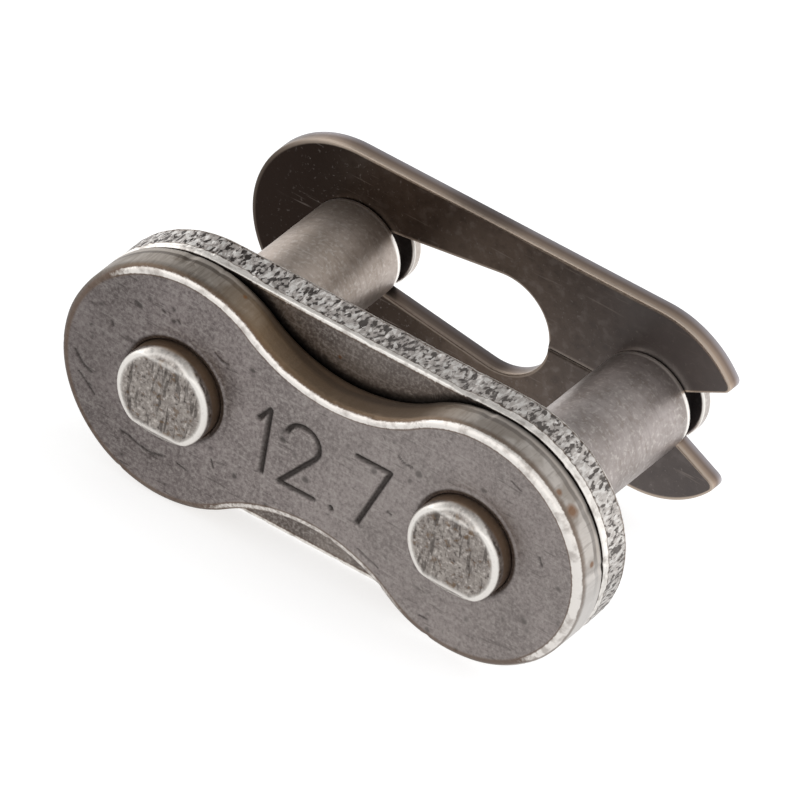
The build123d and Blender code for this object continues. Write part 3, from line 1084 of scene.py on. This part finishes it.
# %% [markdown]
# Both plates are carbon steel, hardened and then tumbled. What is left is a dull warm grey with a
# thin oxide: fine grain, small dark pits, and faint darker patches. The faces are painted darker
# towards the left end and lighter towards the right: painted shade and light. Wherever the grit
# could reach an edge it polished it, so the arris attribute makes the metal lighter and smoother
# there, with a thin brown line where the polish ends; on the pin plate it also carries a painted
# highlight. In a struck figure the oxide stays, and it is nearly black. Each plate has a few specks
# of rust.


# %% Finish of the plates: carbon steel, hardened and tumbled
PLATE_NOISES = (                 # broad patches, grain, scratches, worn polish, pitted places
    (2.6, 3.0, 0.5), (0.12, 4.0, 0.65), (0.14, 1.0, 0.5, (55, (0.12, 1.0, 1.0))),
    (0.45, 4.0, 0.5), (0.9, 1.0, 0.5),
)


def plate_steel(name, dark, light, bright, rust_at, rim_coats):
    """Tumbled plate: two greys, the worn arris, rust, and the coats that only its rim has."""
    material, tree, place, parts, (arris, rim, struck), noises = new_metal(name, PLATE_NOISES)
    broad, grain, scratches, worn, pitted = noises
    # A pit is the middle of a Voronoi cell with a ragged border, and only some cells have one.
    cells = add(tree, "TexVoronoi", {"Vector": place, "Scale": per_mm(0.62)})
    ragged = add(tree, "Math", {0: grain, 1: -0.5, 2: cells}, operation="MULTIPLY_ADD")
    pit = add(tree, "MapRange", {"Value": ragged, "From Min": 0.02, "From Max": -0.10})
    pitted = add(tree, "MapRange", {"Value": pitted, "From Min": 0.55, "From Max": 0.62})
    pit = add(tree, "Math", {0: pit, 1: pitted}, operation="MULTIPLY")
    # The polish is patchy, and frayed by the grain where it ends.
    polish = {"Value": worn, "From Min": 0.34, "From Max": 0.50, "To Min": 0.55}
    frayed = add(tree, "Math", {0: grain, 1: 1.3, 2: 0.35}, operation="MULTIPLY_ADD")
    frayed = add(tree, "Math", {0: frayed, 1: arris}, operation="MULTIPLY")
    wear = add(tree, "MapRange", {"Value": frayed, "From Min": 0.35, "From Max": 0.70})
    wear = add(tree, "Math", {0: wear, 1: add(tree, "MapRange", polish)}, operation="MULTIPLY")
    rust = []
    for *spot, radius in rust_at:
        away = {0: place, 1: in_row(np.array(spot)).tolist()}
        away = add(tree, "VectorMath", away, "Value", operation="DISTANCE")
        away = add(tree, "Math", {0: worn, 1: radius * MM, 2: away}, operation="MULTIPLY_ADD")
        rust.append((away, 1.6 * radius * MM, 0.9 * radius * MM, 0.75, "#7f5632"))
    colour = laid_over(tree, tone(dark), (
        (broad, 0.36, 0.64, 1.0, light),
        (grain, 0.47, 0.70, 0.80, "#b3aca7"),
        (grain, 0.47, 0.28, 0.60, "#3c3633"),
        (scratches, 0.67, 0.73, 0.45, "#332d2a"),
        (scratches, 0.34, 0.28, 0.35, "#b9b2ad"),
        (pit, 0.0, 1.0, 0.75, "#2a2523"),
    ))
    rim_colour, torn, torn_height = rim_coats(tree, place, *parts)
    colour = add(tree, "Mix", {0: rim, 6: colour, 7: rim_colour}, 2, data_type="RGBA")
    colour = laid_over(tree, colour, (
        # Painted shade and light: the faces are painted darker towards the left end and lighter
        # towards the right.
        (parts[0], -2 * MM, -12 * MM, 0.45, "#4a4441"),
        (parts[0], -6 * MM, 2 * MM, 0.30, "#a39c97"),
        (frayed, 0.04, 0.28, 0.62, "#6a5441"),
        (wear, 0.0, 1.0, 1.0, bright),
        *rust,
        # struck: oxide in the figures and dents, and grime and painted shade in the gaps and round
        # the pins
        (struck, 0.0, 1.0, 0.85, "#241f1c"),
    ))
    torn = add(tree, "Math", {0: torn, 1: rim}, operation="MULTIPLY")
    dull = add(tree, "MapRange", {"Value": wear, "To Min": 0.46, "To Max": 0.30})
    finish_metal(tree, colour, dull, ((grain, 0.010), (pit, -0.010), (torn, torn_height)))
    return material


# %% [markdown]
# The die drew the pin plate's rim, so its streaks run along the depth. Its right end, and most of
# all its lower right, is painted lighter: wear and a painted highlight. At the waist it is painted
# darker brown: oxide and the painted shade of the hollows. A dirty line follows the gap at its
# back.


# %% Rim of the pin plate: burnished
def burnished_rim(tree, place, x, y, z):
    """Colour of a rim that the die drew, with streaks, stains, brown oxide, painted light and
    shade, and its relief.
    """
    drawn = add(tree, "Mapping", {"Vector": place, "Scale": (1.0, 0.1, 1.0)})
    streaks, stains = (
        add(tree, "TexNoise", {"Vector": at, "Scale": per_mm(size), "Detail": 3.0})
        for at, size in ((drawn, 0.10), (place, 1.3))
    )
    from_waist = add(tree, "Math", {0: x}, operation="ABSOLUTE")
    across = add(tree, "Math", {0: stains, 1: 0.3 * MM, 2: y}, operation="MULTIPLY_ADD")
    dirt_line = add(tree, "Math", {0: from_waist, 1: -0.1, 2: across}, operation="MULTIPLY_ADD")
    downwards = add(tree, "Math", {0: z, 1: -1.5, 2: x}, operation="MULTIPLY_ADD")
    rim = laid_over(tree, tone("#a39a90"), (
        # Painted highlight: lighter towards the right end.
        (x, 3 * MM, 10 * MM, 0.9, "#e0dad4"),
        (streaks, 0.44, 0.68, 0.4, "#c9c1b8"),
        (streaks, 0.46, 0.32, 0.35, "#6a5e53"),
        (stains, 0.48, 0.58, 0.55, "#766858"),
        (across, row_y(0.62), row_y(0.44), 0.4, "#4d443b"),
        (across, row_y(1.10), row_y(1.16), 0.6, "#463d35"),
        (across, row_y(1.30), row_y(1.36), 0.8, "#cdc4ba"),
        # Darker brown at the waist: oxide and the painted shade of the hollow.
        (from_waist, 5.8 * MM, 3.4 * MM, 0.85, "#856c4c"),
        (dirt_line, row_y(0.80), row_y(1.00), 0.55, "#4b3b2b"),
        (dirt_line, row_y(1.18), row_y(1.26), 0.45, "#94795a"),
        # Lighter still towards the lower right: wear and a painted highlight.
        (downwards, (8.5 - 1.5 * AXIS) * MM, (12 - 1.5 * AXIS) * MM, 0.9, "#fbf7f3"),
    ))
    return rim, streaks, 0.006


PLATE_RUST = (                   # x, depth, z and radius in millimetres
    (9.50, 0.50, 3.84, 0.16), (10.10, 0.62, 3.24, 0.30), (11.13, 0.80, 1.28, 0.14),
    (-4.60, 0.95, 4.64, 0.10),
)
plate_finish = plate_steel(
    "hardened_tumbled_steel", "#7e7573", "#958b89", "#f4eee8", PLATE_RUST, burnished_rim)
put_piece(
    "stamped_plate", pin_plate_patches(), "pin_link", "pin_plate", plate_finish)

# %% [markdown]
# The loose plate is the same steel. On its torn rim each crystal of the fracture shows as a speck,
# black where it faces away and bright where it faces the light; the specks are painted, from
# painted shade to painted glints. The real specks are finer than a tenth of a millimetre. They are
# drawn a little coarser, so that they show, and a noise blurs where one ends and the next begins.
# The rim is also painted lighter towards its right end, a painted highlight.


# %% Rim of the loose plate: fractured
def fractured_rim(tree, place, x, *_):
    """Colour of a torn rim: one value for each crystal, painted from black shade to a bright glint,
    painted lighter to the right, and its relief.
    """
    drawn = add(tree, "Mapping", {"Vector": place, "Scale": (1.0, 0.5, 1.0)})
    crystals = add(tree, "TexVoronoi", {"Vector": drawn, "Scale": per_mm(0.10)}, "Color")
    crystals = add(tree, "SeparateXYZ", {0: crystals})
    grit = add(tree, "TexNoise", {"Vector": drawn, "Scale": per_mm(0.20), "Detail": 3.0})
    value = add(tree, "Math", {0: crystals, 1: 0.4, 2: grit}, operation="MULTIPLY_ADD")
    rim = laid_over(tree, tone("#cac3be"), (
        # Painted highlight: lighter towards the right end.
        (x, 3 * MM, 11 * MM, 0.6, "#e0dbd6"),
        # Painted glints and painted shade of the crystals.
        (value, 0.74, 0.88, 1.0, "#fbf8f4"),
        (value, 0.67, 0.56, 0.95, "#2a2320"),
    ))
    return rim, value, 0.030


COVER_RUST = ((-0.73, 1.55, 3.69, 0.09),)
cover_finish = plate_steel(
    "hardened_steel_with_torn_rim", "#5f5550", "#897f78", "#fbf6f0", COVER_RUST, fractured_rim)
put_piece("cover_plate", cover_patches(), "cover", "loose_plate", cover_finish)

# %% [markdown]
# The pins are drawn wire, case hardened and ground between wheels. Grinding leaves marks round a
# pin, too fine to see one by one. What the eye gets is a dull satin grey with brownish stains, more
# of them on the left pin, and a few coarser rings. The groove is painted nearly black: oily grime
# and the painted shade of the narrow gap under the clip. The riveted ends were battered and then
# tumbled, so they are scratched every way, with a bright worn rim.

# %% Finish of the pins: ground case-hardened steel
PIN_NOISES = (                   # rings, stains, grain, scratches of the ends, dents
    (0.12, 3.0, 0.5, (0, (0.06, 1.0, 0.06))), (1.4, 4.0, 0.5), (0.16, 4.0, 0.6),
    (0.2, 3.0, 0.5, (-40, (1.0, 1.0, 0.2))), (0.34, 4.0, 0.6),
)
ground_steel, tree, _, (along, _, _), (arris, battered, browned), noises = new_metal(
    "ground_case_hardened_steel", PIN_NOISES)
rings, stains, grain, scratches, dents = noises
ground = laid_over(tree, tone("#a09793"), (
    (stains, 0.38, 0.62, 1.0, "#b4aba8"),
    (along, -3 * MM, -5 * MM, 0.4, "#bfad99"),
    (dents, 0.52, 0.66, 0.28, "#7f7165"),
    (dents, 0.42, 0.32, 0.20, "#cfc9c3"),
    (rings, 0.50, 0.70, 0.25, "#7d756f"),
    (grain, 0.52, 0.68, 0.45, "#dcd6d0"),
    (browned, 0.0, 1.0, 0.8, "#8b7257"),
    # The groove, where arris is below zero, is painted nearly black: oily grime and painted shade.
    (arris, 0.0, -1.0, 0.7, "#312f36"),
))
end = laid_over(tree, tone("#857d78"), (
    (dents, 0.34, 0.66, 1.0, "#ada59e"),
    (grain, 0.46, 0.30, 0.85, "#3d3633"),
    (grain, 0.54, 0.68, 0.7, "#ddd5ce"),
    (scratches, 0.55, 0.63, 0.65, "#463f3b"),
    (dents, 0.42, 0.34, 0.6, "#7a6248"),
))
colour = add(tree, "Mix", {0: battered, 6: ground, 7: end}, 2, data_type="RGBA")
polish = add(tree, "MapRange", {"Value": grain, "From Min": 0.25, "From Max": 0.45, "To Min": 0.75})
wear = add(tree, "Math", {0: arris, 1: polish}, operation="MULTIPLY")
colour = laid_over(tree, colour, ((wear, 0.0, 1.0, 1.0, "#f8f3ed"),))
dull = add(tree, "MapRange", {"Value": wear, "To Min": 0.44, "To Max": 0.34})
finish_metal(tree, colour, dull, ((rings, 0.004), (grain, 0.006)))

for hand, side, seed in (("left", -1, 61), ("right", 1, 71)):
    put_piece(
        f"{hand}_turned_pin", pin_patches(side, seed), "pin_link", f"{hand}_pin",
        ground_steel)

# %% [markdown]
# The clip is spring steel, hardened in oil and tempered. That leaves a mottled brown oxide on its
# faces. Over it the faces are painted nearly black towards the closed end and low down, and greyer
# and lighter towards the tip: painted shade and light. The closed end's worn edges are painted dark
# too. The sheared wall went brown to grey, and tumbling has worn the arrises to a golden tan. The
# rim attribute runs across the wall, from the face that looks at the plates to the other, and the
# struck one marks the window's wall, which is still brown.

# %% Finish of the clip: tempered spring steel with a brown oxide
CLIP_NOISES = (                  # broad patches, grain, mottled oxide, scratches
    (3.0, 3.0, 0.5), (0.14, 3.0, 0.6), (0.5, 4.0, 0.5), (0.13, 1.0, 0.5, (-35, (0.07, 1.0, 1.0))),
)
brown_steel, tree, _, (along, _, height), (arris, across_wall, browned), noises = new_metal(
    "tempered_brown_spring_steel", CLIP_NOISES)
broad, grain, mottle, scratches = noises
wall = laid_over(tree, tone("#b9a492"), (
    (across_wall, 0.25, 0.60, 1.0, "#8d7d73"),
    (across_wall, 0.65, 0.95, 1.0, "#b0aaad"),
    (browned, 0.0, 1.0, 0.65, "#4d4440"),
))
towards_tip = add(tree, "Math", {0: along, 1: height}, operation="ADD")
face = laid_over(tree, tone("#62554b"), (
    (broad, 0.36, 0.64, 1.0, "#6f6157"),
    (mottle, 0.54, 0.66, 0.45, "#8c817a"),
    (mottle, 0.46, 0.34, 0.40, "#483e38"),
    # Painted shade and light: nearly black towards the closed end and low down, greyer and lighter
    # towards the tip.
    (along, -1.5 * MM, -8.5 * MM, 0.94, "#1b100a"),
    (along, 0.0, 6 * MM, 0.6, "#646163"),
    (towards_tip, (-1 + AXIS) * MM, (-6 + AXIS) * MM, 0.6, "#2a201a"),
    (towards_tip, (7 + AXIS) * MM, (12 + AXIS) * MM, 0.45, "#9c9896"),
    (scratches, 0.68, 0.78, 0.40, "#978c85"),
    (grain, 0.62, 0.78, 0.6, "#9a918c"),
))
on_wall = add(tree, "MapRange", {"Value": across_wall, "From Min": 0.05, "From Max": 0.20})
colour = add(tree, "Mix", {0: on_wall, 6: face, 7: wall}, 2, data_type="RGBA")
polish = add(tree, "MapRange", {"Value": grain, "From Min": 0.3, "From Max": 0.55, "To Min": 0.6})
wear = add(tree, "Math", {0: arris, 1: polish}, operation="MULTIPLY")
colour = laid_over(tree, colour, (
    (wear, 0.0, 1.0, 0.85, "#bdafa2"),
    # Painted shade: the closed end's worn edges are painted dark again.
    (along, -7.5 * MM, -10.5 * MM, 0.85, "#2b211c"),
))
dull = {"Value": grain, "From Min": 0.3, "From Max": 0.7, "To Min": 0.34, "To Max": 0.44}
finish_metal(tree, colour, add(tree, "MapRange", dull), ((grain, 0.004),))

put_piece("snap_clip", clip_patches(), "clip", "spring_clip", brown_steel)
